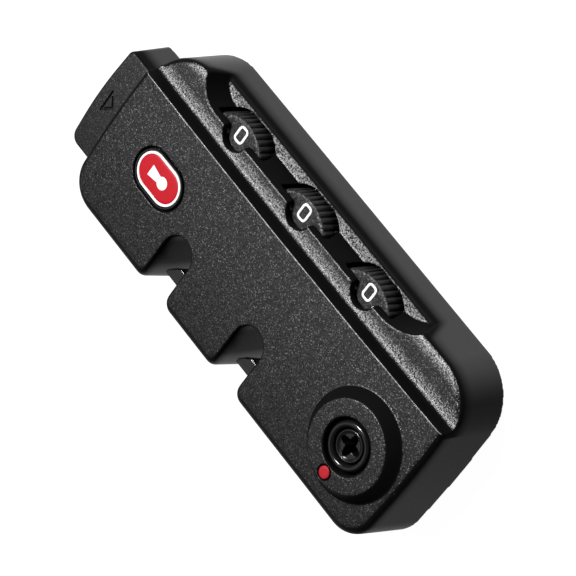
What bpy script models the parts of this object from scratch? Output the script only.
"""A luggage zip lock: three combination dials, a push slider that frees two zip pulls, and a key cylinder.

The lock lies on its back cover. +Z is the front face, +X points to the key end, +Y to the dial side.
The origin is at the bottom centre. Every size below is in millimetres, and meshes are made in metres.
"""

import bpy
import bmesh
from math import atan2, cos, hypot, pi, radians, sin, sqrt, tan
from mathutils import Vector

MM = 0.001
GAP = 0.3  # clearance between neighbouring pieces
CORNER_STEPS = 10
BOW_STEPS = 4

# Housing: a drafted block with bowed ends, wider at the back than at the front
FRONT_Z = 12.5
HALF_WIDTH = 16.23
SIDE_DRAFT = 0.07
LOW_SIDE_DRAFT = 0.1  # the notch side leans more
LEFT_END = -35.05
RIGHT_END = 39.95
END_DRAFT = 0.022
END_BOW = 0.7
END_RADIUS = 150.0
NOTCH_SIDE_CORNER = 6.1
DIAL_SIDE_CORNER = 8.5
FRONT_FILLET = 1.1
LOW_SIDE_FILLET = 2.2
WALL = 1.5
SKIN = 1.2

# Lower shelf along the dial side, and the bowed crease above it
CREASE_Y = 8.6
CREASE_BOW = 0.43
CREASE_HALF_LENGTH = 38.5
STEP_LEAN = 0.25
COVE = 1.0
SHELF_Z = 10.0
SHELF_FILLET = 1.0
LIP_Z = 8.75  # underside of the shelf over the dials

# Finger trough in front of the dials
TROUGH_Y = 11.95
TROUGH_LEFT_X = -21.7
TROUGH_RIGHT_X = 18.7
TROUGH_LEFT_RADIUS = 6.0
TROUGH_RIGHT_RADIUS = 9.7
TROUGH_LEAN = 0.274
LEDGE_Z = 5.8
LEDGE_FILLET = 0.9

# Dials, their code wheels and posts
DIAL_X = (-17.05, -1.1, 14.85)
DIAL_Y = 7.75
DIAL_RADIUS = 6.6
DIAL_BOTTOM = 4.0
DIAL_TOP = 8.45
DIAL_BORE = 2.0  # stays hidden behind the digit bay's inner edge
KNURL_TEETH = 40
KNURL_DEPTH = 0.35
POCKET_RADIUS = 7.2
POCKET_FLAT_Y = 14.65
BAY_RADIUS = 2.36
BAY_Y = 12.33
CODE_WHEEL_RADIUS = 4.6
CODE_WHEEL_BOTTOM = 2.2
CODE_WHEEL_TOP = 3.7
CODE_GATES = 10
GATE_DEPTH = 0.9
POST_RADIUS = 0.8

# Notches for the zip pulls
NOTCH_X = (-11.7, 6.55)
NOTCH_HALF_WIDTH = 2.825
NOTCH_END_Y = -7.05
NOTCH_MOUTH_RADIUS = 1.4
NOTCH_WALL = 1.1

# Slider: button, base plate, latch plate, spring
SLIDER_TRAVEL = 4.0
BUTTON_END = -39.95
BUTTON_ROOT = -30.6
BUTTON_LOW_Y = -9.7
BUTTON_HIGH_Y = 8.4
BUTTON_SIDE_LEAN = 0.65
BUTTON_END_LEAN = 0.2
BUTTON_BOTTOM = 2.9
BUTTON_TOP = 11.0
ARROW_X = -37.8
ARROW_Y = -0.6
ARROW_LENGTH = 1.9
ARROW_HALF = 2.15
ARROW_LINE = 0.28
LATCH_BOTTOM = 6.9
LATCH_TOP = 9.1
RAIL_LOW_Y = -2.55
RAIL_HIGH_Y = 0.65
HOOK_LOW_Y = -12.45
HOOK_HIGH_Y = -10.05
LATCH_LEFT = -34.4
LUG_X = (-29.9, -27.7)
LUG_LOW_Y = -8.05
HOOK_REACH = 1.6  # how far the tip passes the notch's middle
ARM_FAR_SIDE = 7.0  # from the notch's middle
BASE_PLATE = (-39.2, -30.9, -8.95, 8.45)  # x from, x to, y from, y to
SPRING_Y = -6.05
SPRING_LENGTH = 11.4
GUIDE_PIN_END = -20.9

# Fence bar, moved sideways by two pins on the latch plate
FENCE_TRAVEL = 0.6
FENCE_PIN_X = (-11.4, 6.6)
FENCE_PIN_Y = -0.45
FENCE_PIN_RADIUS = 0.6
FENCE_LEFT = -19.6
FENCE_RIGHT = 22.6
FENCE_HIGH_Y = 2.35

# Key cylinder in its raised boss
KEY_X = 29.75
KEY_Y = -3.17
BOSS_TOP = 14.55
BOSS_TOP_RADIUS = 7.0
BOSS_BASE_RADIUS = 8.4
KEY_HOLE_RADIUS = 4.15
KEY_POST_RADIUS = 6.2

# Back cover, its screws, the inserts that take the mounting screws, and the reset button
COVER_TOP = 1.5
SCREWS = ((-22.4, -10.85), (34.6, -10.55), (34.1, 11.25), (-27.9, 11.65))
INSERTS = ((-22.9, -3.05), (-2.7, -8.55), (20.1, -9.05))
RESET_X = 26.6
RESET_Y = 8.45

# Badge and index dot
BADGE_X = -21.7
BADGE_Y = -1.15
BADGE_LENGTH = 10.0
BADGE_WIDTH = 6.8
DOT_OFFSET = (-0.2, -5.6)
DOT_RADIUS = 0.95


# ---------------------------------------------------------------- outlines

def rounded(corners):
    """A closed anticlockwise outline from (x, y, radius) corners, each corner an arc."""
    points = []
    count = len(corners)
    for i, (x, y, radius) in enumerate(corners):
        here = Vector((x, y))
        before = (Vector(corners[i - 1][:2]) - here).normalized()
        after = (Vector(corners[(i + 1) % count][:2]) - here).normalized()
        half = before.angle(after) / 2
        if radius <= 0:
            points.append((x, y))
            continue
        centre = here + (before + after).normalized() * (radius / sin(half))
        turn = pi - 2 * half
        steps = CORNER_STEPS if turn > radians(30) else BOW_STEPS
        start = here + before * (radius / tan(half)) - centre
        side = 1 if before.x * after.y - before.y * after.x < 0 else -1
        first = atan2(start.y, start.x)
        for k in range(steps + 1):
            angle = first + side * turn * k / steps
            points.append((centre.x + radius * cos(angle), centre.y + radius * sin(angle)))
    return points


def rectangle(x0, x1, y0, y1, radius=0.0):
    return rounded([(x0, y0, radius), (x1, y0, radius), (x1, y1, radius), (x0, y1, radius)])


def circle(x, y, radius, steps=32):
    angles = [2 * pi * k / steps for k in range(steps)]
    return [(x + radius * cos(a), y + radius * sin(a)) for a in angles]


def pill(x, y, length, width):
    return rectangle(x - length / 2, x + length / 2, y - width / 2, y + width / 2, width / 2 - 0.01)


def at(outline, z):
    return [(x, y, z) for x, y in outline]


def body_outline(z, inset=0.0, low_inset=None):
    """The housing's outer wall at height z, moved in by inset, and by low_inset on the notch side."""
    low_inset = inset if low_inset is None else low_inset
    low_half = HALF_WIDTH - LOW_SIDE_DRAFT * z - low_inset
    high_half = HALF_WIDTH - SIDE_DRAFT * z - inset
    left = LEFT_END + END_DRAFT * z + inset
    right = RIGHT_END - END_DRAFT * z - inset
    low = NOTCH_SIDE_CORNER - SIDE_DRAFT * z - (inset + low_inset) / 2
    high = DIAL_SIDE_CORNER - SIDE_DRAFT * z - inset
    return rounded([
        (left + END_BOW, -low_half, low), (right - END_BOW, -low_half, low), (right, 0, END_RADIUS),
        (right - END_BOW, high_half, high), (left + END_BOW, high_half, high), (left, 0, END_RADIUS),
    ])


def notch_outline(x, z, grow=0.0):
    """A zip notch, open past the wall, whose mouth flares where the drafted wall stands at height z."""
    wall = -(HALF_WIDTH - LOW_SIDE_DRAFT * z)
    half = NOTCH_HALF_WIDTH + grow
    flare = NOTCH_MOUTH_RADIUS
    arc = [radians(15 * k) for k in range(7)]
    right = [(x + half + flare - flare * cos(a), wall + flare - flare * sin(a)) for a in reversed(arc)]
    left = [(2 * x - px, py) for px, py in reversed(right)]
    end = [radians(15 * k) for k in range(13)]
    top = [(x + half * cos(a), NOTCH_END_Y + half * sin(a)) for a in end]
    low = wall - 2
    return [(left[-1][0], low), (right[0][0], low)] + right + top + left


def trough_outline(z):
    """The finger trough at height z: straight along the dials, swept out at both ends, open past the wall."""
    lean = TROUGH_LEAN * (SHELF_Z - z)
    y = TROUGH_Y + lean
    left, right = TROUGH_LEFT_RADIUS - lean, TROUGH_RIGHT_RADIUS - lean
    quarter = [radians(90 * k / 12) for k in range(13)]
    points = [(TROUGH_LEFT_X - left * cos(a), y + left - left * sin(a)) for a in quarter]
    points += [(TROUGH_RIGHT_X + right * sin(a), y + right - right * cos(a)) for a in quarter]
    return points + [(points[-1][0], 24), (points[0][0], 24)]


def crease_y(x):
    return CREASE_Y + CREASE_BOW * (x / CREASE_HALF_LENGTH) ** 2


# ---------------------------------------------------------------- solids

def loft(rings):
    """A closed solid through rings of equally many points, anticlockwise seen from where they lead."""
    bm = bmesh.new()
    loops = [[bm.verts.new(Vector(p) * MM) for p in ring] for ring in rings]
    count = len(rings[0])
    for low, high in zip(loops, loops[1:]):
        for i in range(count):
            j = (i + 1) % count
            bm.faces.new((low[i], low[j], high[j], high[i]))
    bm.faces.new(reversed(loops[0]))
    bm.faces.new(loops[-1])
    return bm


def extrude(outline, bottom, top):
    return loft([at(outline, bottom), at(outline, top)])


def turned(x, y, profile, steps=32):
    """A solid of revolution about the vertical through (x, y); profile runs (radius, z) bottom to top."""
    return loft([at(circle(x, y, radius, steps), z) for radius, z in profile])


def tube(x, y, outer, inner, bottom, top, steps=32):
    """A plain ring with a round hole."""
    bm = bmesh.new()
    rings = [(outer, bottom), (outer, top), (inner, top), (inner, bottom)]
    loops = [[bm.verts.new(Vector((px, py, z)) * MM) for px, py in circle(x, y, r, steps)] for r, z in rings]
    for low, high in zip(loops, loops[1:] + loops[:1]):
        for i in range(steps):
            j = (i + 1) % steps
            bm.faces.new((low[i], low[j], high[j], high[i]))
    return bm


def material(name, colour, roughness, metallic=0.0):
    made = bpy.data.materials.new(name)
    made.use_nodes = True
    shader = made.node_tree.nodes["Principled BSDF"]
    shader.inputs["Base Color"].default_value = (*colour, 1)
    shader.inputs["Roughness"].default_value = roughness
    shader.inputs["Metallic"].default_value = metallic
    return made


def place(name, bm, finish, origin=(0, 0, 0), parent=None):
    """A named object from a mesh made in place, with its origin moved to a joint axis if it has one."""
    shift = Vector(origin) * MM
    bmesh.ops.translate(bm, verts=bm.verts, vec=-shift)
    mesh = bpy.data.meshes.new(name)
    bm.to_mesh(mesh)
    bm.free()
    mesh.shade_smooth()
    mesh.set_sharp_from_angle(angle=radians(30))
    mesh.materials.append(finish)
    piece = bpy.data.objects.new(name, mesh)
    piece.location = shift
    bpy.context.collection.objects.link(piece)
    if parent:
        piece.parent = parent
        piece.location = shift - parent.location
    return piece


def tool(name, bm):
    """A cutter, left out of the model."""
    mesh = bpy.data.meshes.new(name)
    bm.to_mesh(mesh)
    bm.free()
    cutter = bpy.data.objects.new(name, mesh)
    bpy.context.collection.objects.link(cutter)
    cutter.hide_render = True
    cutter.display_type = "WIRE"
    return cutter


def combine(piece, operation, *cutters):
    for cutter in cutters:
        modifier = piece.modifiers.new(cutter.name, "BOOLEAN")
        modifier.operation = operation
        modifier.solver = "EXACT"
        modifier.object = cutter


def coil(name, finish, start, direction, length, radius, wire, turns, parent=None):
    """A compression spring as a round wire on a helix, from start along direction."""
    axis = Vector(direction)
    across = Vector((0, 1, 0)) if abs(axis.y) < 0.5 else Vector((1, 0, 0))
    other = axis.cross(across)
    steps = 10
    total = turns * steps
    curve = bpy.data.curves.new(name, "CURVE")
    curve.dimensions = "3D"
    curve.bevel_depth = wire * MM
    curve.bevel_resolution = 1
    curve.use_fill_caps = True
    curve.render_resolution_u = 0
    spline = curve.splines.new("POLY")
    spline.points.add(total)
    for k in range(total + 1):
        angle = 2 * pi * k / steps
        along = wire + (length - 2 * wire) * k / total
        point = Vector(start) + axis * along + (across * cos(angle) + other * sin(angle)) * radius
        spline.points[k].co = (*(point * MM), 1)
    curve.materials.append(finish)
    piece = bpy.data.objects.new(name, curve)
    bpy.context.collection.objects.link(piece)
    if parent:
        piece.parent = parent
        piece.location = -parent.location
    return piece


def axis_empty(name, point):
    """A joint's axis, which carries the pieces that move on it."""
    empty = bpy.data.objects.new(name, None)
    empty.location = Vector(point) * MM
    bpy.context.collection.objects.link(empty)
    return empty


def filleted_block(bottom, top, fillet, low_fillet, grow=0.0):
    """The housing's outer form up to top, with a rounded top edge, larger on the notch side."""
    rings = [at(body_outline(z, -grow), z) for z in (bottom, top - low_fillet)]
    for k in range(1, 7):
        angle = radians(15 * k)
        z = top - low_fillet + low_fillet * sin(angle)
        rise = max(0.0, z - top + fillet)
        inset = fillet - sqrt(max(0.0, fillet ** 2 - rise ** 2))
        rings.append(at(body_outline(z, inset - grow, low_fillet * (1 - cos(angle)) - grow), z))
    return loft(rings)


# ---------------------------------------------------------------- housing

def step_region():
    """Everything above the shelf on the dial side: lean step face, cove, then down past the shelf's rim."""
    floor = SHELF_Z - SHELF_FILLET - 0.1
    rings = []
    for k in range(17):
        x = -45 + 90 * k / 16
        y = crease_y(x)
        foot = y + STEP_LEAN
        section = [(y - 0.1, FRONT_Z + 1), (foot, SHELF_Z + COVE)]
        for j in range(1, 6):
            angle = radians(90 * j / 5)
            section.append((foot + COVE - COVE * cos(angle), SHELF_Z + COVE - COVE * sin(angle) + 0.002 * j))
        section += [(foot + COVE + 0.02, floor), (24, floor), (24, FRONT_Z + 1)]
        rings.append([(x, py, pz) for py, pz in section])
    return loft(rings)


def cavity_tool():
    """The hollow inside, less the walls round the notches, the key post and the screw posts."""
    low = tool("cavity", loft([
        at(body_outline(-1, WALL), -1), at(body_outline(LEDGE_Z - SKIN, WALL), LEDGE_Z - SKIN)]))
    middle = tool("cavity_middle", extrude(rectangle(-33.2, 38.0, -12.9, 10.65, 3.5), 3.0, LIP_Z))
    upper = tool("cavity_upper", extrude(rectangle(-32.8, 37.6, -12.55, 7.65, 3.0), 8.0, FRONT_Z - SKIN))
    combine(low, "UNION", middle, upper)
    for i, x in enumerate(NOTCH_X):
        wall = [at(notch_outline(x, z, NOTCH_WALL), z) for z in (-2, FRONT_Z)]
        combine(low, "DIFFERENCE", tool(f"notch_wall_{i + 1}", loft(wall)))
    post = extrude(circle(KEY_X, KEY_Y, KEY_POST_RADIUS, 48), 4.5, FRONT_Z)
    combine(low, "DIFFERENCE", tool("key_post", post))
    for i, (x, y) in enumerate(SCREWS):
        combine(low, "DIFFERENCE", tool(f"screw_post_{i + 1}", extrude(circle(x, y, 2.3, 24), 1.8, FRONT_Z)))
    return low


def front_housing(finish):
    piece = place("front_housing", filleted_block(0, FRONT_Z, FRONT_FILLET, LOW_SIDE_FILLET), finish)
    step = tool("shelf_step", step_region())
    shelf = filleted_block(4, SHELF_Z, SHELF_FILLET, SHELF_FILLET, 0.01)
    combine(step, "DIFFERENCE", tool("shelf_form", shelf))
    trough = tool("trough", loft([at(trough_outline(z), z) for z in (LEDGE_Z - 1, FRONT_Z)]))
    ledge = filleted_block(2, LEDGE_Z, LEDGE_FILLET, LEDGE_FILLET, 0.01)
    combine(trough, "DIFFERENCE", tool("ledge_form", ledge))
    boss = tool("key_boss", turned(KEY_X, KEY_Y, [
        (BOSS_BASE_RADIUS + 0.35, FRONT_Z - 0.5), (BOSS_TOP_RADIUS + 0.17, BOSS_TOP - 0.25),
        (BOSS_TOP_RADIUS, BOSS_TOP - 0.07), (BOSS_TOP_RADIUS - 0.17, BOSS_TOP)], 64))
    combine(piece, "DIFFERENCE", step, trough)
    combine(piece, "UNION", boss)
    combine(piece, "DIFFERENCE", cavity_tool())
    for i, x in enumerate(DIAL_X):
        pocket = [p for p in circle(x, DIAL_Y, POCKET_RADIUS, 72) if p[1] <= POCKET_FLAT_Y]
        bay = [at(circle(x, BAY_Y, BAY_RADIUS + flare, 40), z) for z, flare in ((8.0, 0), (11.0, 0.15))]
        combine(piece, "DIFFERENCE", tool(f"dial_pocket_{i + 1}", extrude(pocket, 4.0, LIP_Z)))
        combine(piece, "DIFFERENCE", tool(f"digit_bay_{i + 1}", loft(bay)))
    for i, x in enumerate(NOTCH_X):
        rings = [at(notch_outline(x, z), z) for z in (-1, FRONT_Z + 1)]
        window = rectangle(x + NOTCH_HALF_WIDTH - 0.6, x + NOTCH_HALF_WIDTH + NOTCH_WALL + 0.4,
                           HOOK_LOW_Y - 0.4, HOOK_HIGH_Y + 0.4)
        combine(piece, "DIFFERENCE", tool(f"notch_{i + 1}", loft(rings)))
        combine(piece, "DIFFERENCE", tool(f"hook_window_{i + 1}",
                                          extrude(window, LATCH_BOTTOM - 0.4, LATCH_TOP + 0.4)))
    opening = []
    for z in (1.3, BUTTON_TOP + GAP):
        low = BUTTON_LOW_Y - BUTTON_END_LEAN * button_depth(z) - GAP
        high = BUTTON_HIGH_Y + BUTTON_SIDE_LEAN * button_depth(z) + GAP
        opening.append(at(rectangle(BUTTON_END - 2, BUTTON_ROOT + SLIDER_TRAVEL + 0.7, low, high, 0.8), z))
    combine(piece, "DIFFERENCE", tool("button_opening", loft(opening)))
    combine(piece, "DIFFERENCE", tool("key_bore", turned(KEY_X, KEY_Y, [
        (5.1, 3.0), (5.1, 9.3), (KEY_HOLE_RADIUS, 9.3), (KEY_HOLE_RADIUS, BOSS_TOP + 1)], 48)))
    badge = pill(BADGE_X, BADGE_Y, BADGE_LENGTH + 0.6, BADGE_WIDTH + 0.6)
    combine(piece, "DIFFERENCE", tool("badge_recess", extrude(badge, FRONT_Z - 0.65, FRONT_Z + 1)))
    dot = circle(KEY_X + DOT_OFFSET[0], KEY_Y + DOT_OFFSET[1], DOT_RADIUS + 0.2, 24)
    combine(piece, "DIFFERENCE", tool("dot_recess", extrude(dot, BOSS_TOP - 0.5, BOSS_TOP + 1)))
    for i, (x, y) in enumerate(SCREWS):
        combine(piece, "DIFFERENCE", tool(f"screw_hole_{i + 1}", extrude(circle(x, y, 1.2, 16), 0, 8.0)))
    return piece


def back_cover(finish):
    piece = place("back_cover", extrude(body_outline(0, WALL + GAP), 0, COVER_TOP), finish)
    for i, (x, y) in enumerate(INSERTS):
        combine(piece, "UNION", tool(f"insert_post_{i + 1}", extrude(circle(x, y, 2.7, 24), 0.5, 5.0)))
        combine(piece, "DIFFERENCE", tool(f"insert_hole_{i + 1}", extrude(circle(x, y, 1.9, 24), -1, 6)))
    for i, x in enumerate(NOTCH_X):
        rings = [at(notch_outline(x, z, NOTCH_WALL + GAP), z) for z in (-1, 3)]
        combine(piece, "DIFFERENCE", tool(f"cover_notch_{i + 1}", loft(rings)))
    for i, (x, y) in enumerate(SCREWS):
        stepped = turned(x, y, [(2.1, -1), (2.1, 0.9), (1.2, 0.9), (1.2, 3)], 24)
        combine(piece, "DIFFERENCE", tool(f"cover_screw_hole_{i + 1}", stepped))
    reset = extrude(circle(RESET_X, RESET_Y, 1.8, 24), -1, 3)
    combine(piece, "DIFFERENCE", tool("reset_hole", reset))
    return piece


# ---------------------------------------------------------------- slider

def button_depth(z):
    """How far down the button's side z is: 0 at its face, 1 at its base."""
    return (BUTTON_TOP - z) / (BUTTON_TOP - BUTTON_BOTTOM)


def button_outline(z, inset=0.0):
    """The button's plan: a bowed outer end, and sides that lean out towards the back."""
    depth = button_depth(z)
    high = BUTTON_HIGH_Y + BUTTON_SIDE_LEAN * depth - inset
    low = BUTTON_LOW_Y - BUTTON_END_LEAN * depth + inset
    end = BUTTON_END - BUTTON_END_LEAN * depth + inset
    return rounded([
        (BUTTON_ROOT, low, 0.4), (BUTTON_ROOT, high, 0.4), (end + 0.75, high, 0.9),
        (end, (high + low) / 2, 60), (end + 0.7, low, 1.7)][::-1])


def arrow_outline(inset):
    """The triangle on the button, which points the way to push, moved in by inset."""
    slope = atan2(ARROW_HALF, ARROW_LENGTH)
    base = ARROW_X + inset
    tip = ARROW_X + ARROW_LENGTH - inset / sin(slope)
    half = (tip - base) * tan(slope)
    return [(base, ARROW_Y - half), (tip, ARROW_Y), (base, ARROW_Y + half)]


def slider_button(finish, parent):
    rings = [at(button_outline(z), z) for z in (BUTTON_BOTTOM, BUTTON_TOP - 0.35)]
    for k in range(1, 4):
        angle = radians(30 * k)
        z = BUTTON_TOP - 0.35 + 0.35 * sin(angle)
        rings.append(at(button_outline(z, 0.35 * (1 - cos(angle))), z))
    piece = place("slider_button", loft(rings), finish, parent=parent)
    tongue = extrude(rectangle(LATCH_LEFT - GAP, BUTTON_ROOT + 1, RAIL_LOW_Y - GAP, RAIL_HIGH_Y + GAP),
                     LATCH_BOTTOM - GAP, LATCH_TOP + GAP)
    combine(piece, "DIFFERENCE", tool("tongue_slot", tongue))
    outer = rounded([(x, y, 0.08) for x, y in arrow_outline(0)])
    inner = rounded([(x, y, 0.05) for x, y in arrow_outline(ARROW_LINE)])
    groove = tool("arrow_groove", extrude(outer, BUTTON_TOP - 0.25, BUTTON_TOP + 1))
    combine(groove, "DIFFERENCE", tool("arrow_island", extrude(inner, BUTTON_TOP - 1, BUTTON_TOP + 2)))
    combine(piece, "DIFFERENCE", groove)
    return piece


def latch_outline():
    """One flat casting: tongue and rail, a lug for the spring, and a hook on an arm beside each notch."""
    points = [(LATCH_LEFT, RAIL_LOW_Y), (LUG_X[0], RAIL_LOW_Y), (LUG_X[0], LUG_LOW_Y), (LUG_X[1], LUG_LOW_Y),
              (LUG_X[1], RAIL_LOW_Y)]
    for x in NOTCH_X:
        arm = x + NOTCH_HALF_WIDTH + NOTCH_WALL + GAP
        points += [
            (arm, RAIL_LOW_Y), (arm, HOOK_HIGH_Y), (x + 0.3, HOOK_HIGH_Y), (x - HOOK_REACH, HOOK_LOW_Y + 0.7),
            (x - HOOK_REACH, HOOK_LOW_Y), (x + ARM_FAR_SIDE, HOOK_LOW_Y), (x + ARM_FAR_SIDE, RAIL_LOW_Y)]
    points[-1] = (NOTCH_X[-1] + ARM_FAR_SIDE, RAIL_HIGH_Y)
    return points + [(LATCH_LEFT, RAIL_HIGH_Y)]


def latch_plate(finish, parent):
    piece = place("latch_plate", extrude(latch_outline(), LATCH_BOTTOM, LATCH_TOP), finish, parent=parent)
    for i, x in enumerate(FENCE_PIN_X):
        pin = extrude(circle(x, FENCE_PIN_Y, FENCE_PIN_RADIUS, 20), 2.4, LATCH_BOTTOM + 1)
        combine(piece, "UNION", tool(f"fence_pin_{i + 1}", pin))
    return piece


def fence_bar(finish):
    """The bar whose three tabs go into the code wheels' gates as the slider is pushed in."""
    low, high, reach = RAIL_LOW_Y, FENCE_HIGH_Y, DIAL_Y - CODE_WHEEL_RADIUS - 0.25
    outline = [(FENCE_LEFT, low), (FENCE_RIGHT, low), (FENCE_RIGHT, high)]
    for x in reversed(DIAL_X):
        rise = reach - high
        outline += [(x + 0.15 + rise, high), (x + 0.15, reach), (x - 0.15, reach), (x - 0.15 - rise, high)]
    outline.append((FENCE_LEFT, high))
    piece = place("fence_bar", extrude(outline, CODE_WHEEL_BOTTOM, CODE_WHEEL_TOP), finish)
    for i, x in enumerate(FENCE_PIN_X):
        half = FENCE_PIN_RADIUS + GAP
        slant = atan2(-FENCE_TRAVEL, SLIDER_TRAVEL)
        reach = hypot(SLIDER_TRAVEL, FENCE_TRAVEL)
        ends = [(0, slant + pi / 2, slant + 3 * pi / 2), (reach, slant - pi / 2, slant + pi / 2)]
        slot = []
        for along, first, last in ends:
            for k in range(9):
                angle = first + (last - first) * k / 8
                slot.append((x + along * cos(slant) + half * cos(angle),
                             FENCE_PIN_Y + along * sin(slant) + half * sin(angle)))
        combine(piece, "DIFFERENCE", tool(f"fence_slot_{i + 1}", extrude(slot, 1, 5)))
    return piece


# ---------------------------------------------------------------- dials

def dial_outline(x, radius, depth):
    """A knurled rim: flat-topped teeth with V grooves between them."""
    points = []
    for k in range(KNURL_TEETH):
        for share, cut in ((0.0, 1.0), (0.3, 0.0), (0.7, 0.0)):
            angle = 2 * pi * (k + share) / KNURL_TEETH
            r = radius - depth * cut
            points.append((x + r * cos(angle), DIAL_Y + r * sin(angle)))
    return points


def dial_wheel(i, finish, parent):
    x = DIAL_X[i]
    chamfer = 0.25
    rings = [
        at(dial_outline(x, DIAL_RADIUS, KNURL_DEPTH), DIAL_BOTTOM),
        at(dial_outline(x, DIAL_RADIUS, KNURL_DEPTH), DIAL_TOP - chamfer),
        at(dial_outline(x, DIAL_RADIUS - chamfer, KNURL_DEPTH / 2), DIAL_TOP)]
    piece = place(f"dial_wheel_{i + 1}", loft(rings), finish, (x, DIAL_Y, 0), parent)
    bore = extrude(circle(x, DIAL_Y, DIAL_BORE, 24), DIAL_BOTTOM - 1, DIAL_TOP + 1)
    combine(piece, "DIFFERENCE", tool(f"dial_bore_{i + 1}", bore))
    return piece


def code_wheel(i, finish, parent):
    """A sleeve inside the dial on a flange with ten gates in its rim."""
    x = DIAL_X[i]
    steps = 6 * CODE_GATES
    rim = []
    for k in range(steps):
        angle = 2 * pi * k / steps
        r = CODE_WHEEL_RADIUS - GATE_DEPTH * (0.5 + 0.5 * cos(CODE_GATES * (angle + pi / 2)))
        rim.append((x + r * cos(angle), DIAL_Y + r * sin(angle)))
    piece = place(f"code_wheel_{i + 1}", extrude(rim, CODE_WHEEL_BOTTOM, CODE_WHEEL_TOP), finish,
                  (x, DIAL_Y, 0), parent)
    sleeve = extrude(circle(x, DIAL_Y, DIAL_BORE - GAP, 24), CODE_WHEEL_BOTTOM + 0.5, 8.2)
    combine(piece, "UNION", tool(f"code_sleeve_{i + 1}", sleeve))
    bore = extrude(circle(x, DIAL_Y, POST_RADIUS + GAP, 20), 1, 9)
    combine(piece, "DIFFERENCE", tool(f"code_bore_{i + 1}", bore))
    return piece


def detent_spring(finish):
    """One strip of spring steel on edge, with a V against each code wheel."""
    thick, y = 0.3, 12.9
    front = [(DIAL_X[0] - 5, y)]
    back = [(DIAL_X[0] - 5, y + thick)]
    tip = DIAL_Y + CODE_WHEEL_RADIUS + 0.25
    for x in DIAL_X:
        front += [(x - 0.9, y), (x, tip), (x + 0.9, y)]
        back += [(x - 0.78, y + thick), (x, tip + 1.5 * thick), (x + 0.78, y + thick)]
    front.append((DIAL_X[-1] + 5, y))
    back.append((DIAL_X[-1] + 5, y + thick))
    return place("detent_spring", extrude(front + back[::-1], 2.3, 3.6), finish)


# ---------------------------------------------------------------- key cylinder

def key_sleeve(finish):
    """The fixed ring that the plug turns in, held by a flange under the boss."""
    piece = place("key_sleeve", turned(KEY_X, KEY_Y, [
        (4.8, 4.3), (4.8, 9.0), (3.5, 9.0), (3.5, 13.95), (3.35, 14.15), (3.2, 14.2)], 48), finish)
    bore = turned(KEY_X, KEY_Y, [(2.75, 3), (2.75, 13.9), (3.0, 14.3), (3.0, 15)], 40)
    combine(piece, "DIFFERENCE", tool("sleeve_bore", bore))
    return piece


def key_plug(finish, parent):
    """A round plug with a cross-lobed keyway in a dished face, and a square tang below."""
    piece = place("key_plug", turned(KEY_X, KEY_Y, [(2.45, 3.9), (2.45, 13.5), (2.25, 13.7)], 40), finish,
                  (KEY_X, KEY_Y, 0), parent)
    tang = extrude(rectangle(KEY_X - 1.2, KEY_X + 1.2, KEY_Y - 1.2, KEY_Y + 1.2), 2.0, 5.0)
    combine(piece, "UNION", tool("plug_tang", tang))
    dish = turned(KEY_X, KEY_Y, [(1.6, 12.9), (2.05, 14.5)], 40)
    combine(piece, "DIFFERENCE", tool("plug_dish", dish))
    lobes = []
    for k in range(48):
        angle = 2 * pi * k / 48
        r = 1.05 + 0.4 * cos(4 * angle)
        lobes.append((KEY_X + r * cos(angle), KEY_Y + r * sin(angle)))
    combine(piece, "DIFFERENCE", tool("keyway", extrude(lobes, 7.0, 14.5)))
    return piece


def key_cam(finish, parent):
    """The arm on the plug's tang that reaches the fence bar's tail."""
    outline = [(KEY_X + 3.2 * cos(a), KEY_Y + 3.2 * sin(a)) for a in
               (radians(112 + 316 * k / 24) for k in range(25))]
    outline += [(KEY_X + 1.2, KEY_Y + 6.0), (KEY_X + 0.8, KEY_Y + 6.4), (KEY_X - 0.8, KEY_Y + 6.4),
                (KEY_X - 1.2, KEY_Y + 6.0)]
    piece = place("key_cam", extrude(outline, 2.5, 3.6), finish, (KEY_X, KEY_Y, 0), parent)
    hole = extrude(rectangle(KEY_X - 1.5, KEY_X + 1.5, KEY_Y - 1.5, KEY_Y + 1.5), 2, 5)
    combine(piece, "DIFFERENCE", tool("cam_hole", hole))
    return piece


# ---------------------------------------------------------------- fasteners and small parts

def cover_screw(i, finish):
    x, y = SCREWS[i]
    piece = place(f"cover_screw_{i + 1}", turned(x, y, [
        (1.5, 0.02), (1.8, 0.2), (1.8, 0.6), (0.9, 0.6), (0.9, 7.2), (0.5, 7.7)], 16), finish)
    for k, (a, b) in enumerate(((1.0, 0.22), (0.22, 1.0))):
        bar = extrude(rectangle(x - a, x + a, y - b, y + b), -1, 0.35)
        combine(piece, "DIFFERENCE", tool(f"screw_cross_{i + 1}_{k + 1}", bar))
    return piece


def mount_insert(i, finish):
    x, y = INSERTS[i]
    return place(f"mount_insert_{i + 1}", tube(x, y, 1.6, 1.0, 0.0, 4.8, 24), finish)


def reset_button(finish, parent):
    return place("reset_button", turned(RESET_X, RESET_Y, [
        (1.3, 0.05), (1.5, 0.25), (1.5, 1.9), (2.2, 1.9), (2.2, 2.5), (0.7, 2.5), (0.7, 4.5)], 24),
        finish, (RESET_X, RESET_Y, 0), parent)


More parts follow.
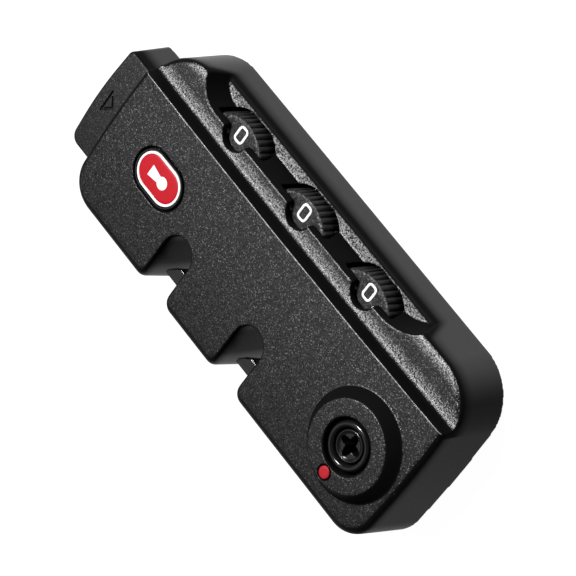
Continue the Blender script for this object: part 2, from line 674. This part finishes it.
def build():
    for piece in list(bpy.data.objects):
        bpy.data.objects.remove(piece, do_unlink=True)

    shell_black = material("textured_black", (0.022, 0.022, 0.024), 0.5)
    smooth_black = material("satin_black", (0.03, 0.03, 0.032), 0.4)
    dial_black = material("dial_black", (0.018, 0.018, 0.02), 0.55)
    gloss_black = material("gloss_black", (0.012, 0.012, 0.013), 0.15)
    dark_steel = material("dark_steel", (0.08, 0.08, 0.085), 0.35, 1.0)
    steel = material("spring_steel", (0.55, 0.55, 0.57), 0.3, 1.0)
    brass = material("brass", (0.72, 0.52, 0.22), 0.3, 1.0)
    acetal = material("acetal_white", (0.75, 0.75, 0.72), 0.4)
    red = material("signal_red", (0.62, 0.015, 0.03), 0.25)

    front_housing(shell_black)
    back_cover(smooth_black)

    slider = axis_empty("slider_axis", (BUTTON_ROOT, 0, 0))
    slider_button(smooth_black, slider)
    place("slider_base_plate", extrude(rectangle(*BASE_PLATE, 0.8), 1.8, 2.6), dark_steel,
          parent=slider)
    latch_plate(dark_steel, slider)
    middle = (LATCH_BOTTOM + LATCH_TOP) / 2
    pin = loft([[(x, y, z) for y, z in circle(SPRING_Y, middle, 0.6, 16)]
                for x in (LUG_X[1] + GAP, GUIDE_PIN_END)])
    place("spring_guide_pin", pin, steel, parent=slider)
    coil("slider_spring", steel, (LUG_X[1] + GAP, SPRING_Y, middle), (1, 0, 0), SPRING_LENGTH, 1.2, 0.22, 6)
    fence_bar(dark_steel)

    for i, x in enumerate(DIAL_X):
        dial = axis_empty(f"dial_axis_{i + 1}", (x, DIAL_Y, 0))
        dial_wheel(i, dial_black, dial)
        code_wheel(i, acetal, dial)
        place(f"dial_post_{i + 1}", turned(x, DIAL_Y, [
            (2.4, 1.8), (2.4, 1.95), (POST_RADIUS, 1.95), (POST_RADIUS, 8.2),
            (POST_RADIUS - 0.2, 8.4)], 20), steel)
    detent_spring(steel)

    key_sleeve(gloss_black)
    plug = axis_empty("key_axis", (KEY_X, KEY_Y, 0))
    key_plug(gloss_black, plug)
    key_cam(dark_steel, plug)
    place("cam_clip", tube(KEY_X, KEY_Y, 2.9, 2.0, 1.85, 2.2, 24), steel, (KEY_X, KEY_Y, 0), plug)

    place("badge", extrude(pill(BADGE_X, BADGE_Y, BADGE_LENGTH, BADGE_WIDTH), FRONT_Z - 0.4, FRONT_Z), red)
    place("index_dot", turned(KEY_X + DOT_OFFSET[0], KEY_Y + DOT_OFFSET[1], [
        (DOT_RADIUS, BOSS_TOP - 0.25), (DOT_RADIUS - 0.1, BOSS_TOP)], 24), red)

    for i in range(len(SCREWS)):
        cover_screw(i, steel)
    for i in range(len(INSERTS)):
        mount_insert(i, brass)

    reset = axis_empty("reset_axis", (RESET_X, RESET_Y, 0))
    reset_button(acetal, reset)
    coil("reset_spring", steel, (RESET_X, RESET_Y, 2.8), (0, 0, 1), 5.4, 1.2, 0.2, 5)


build()
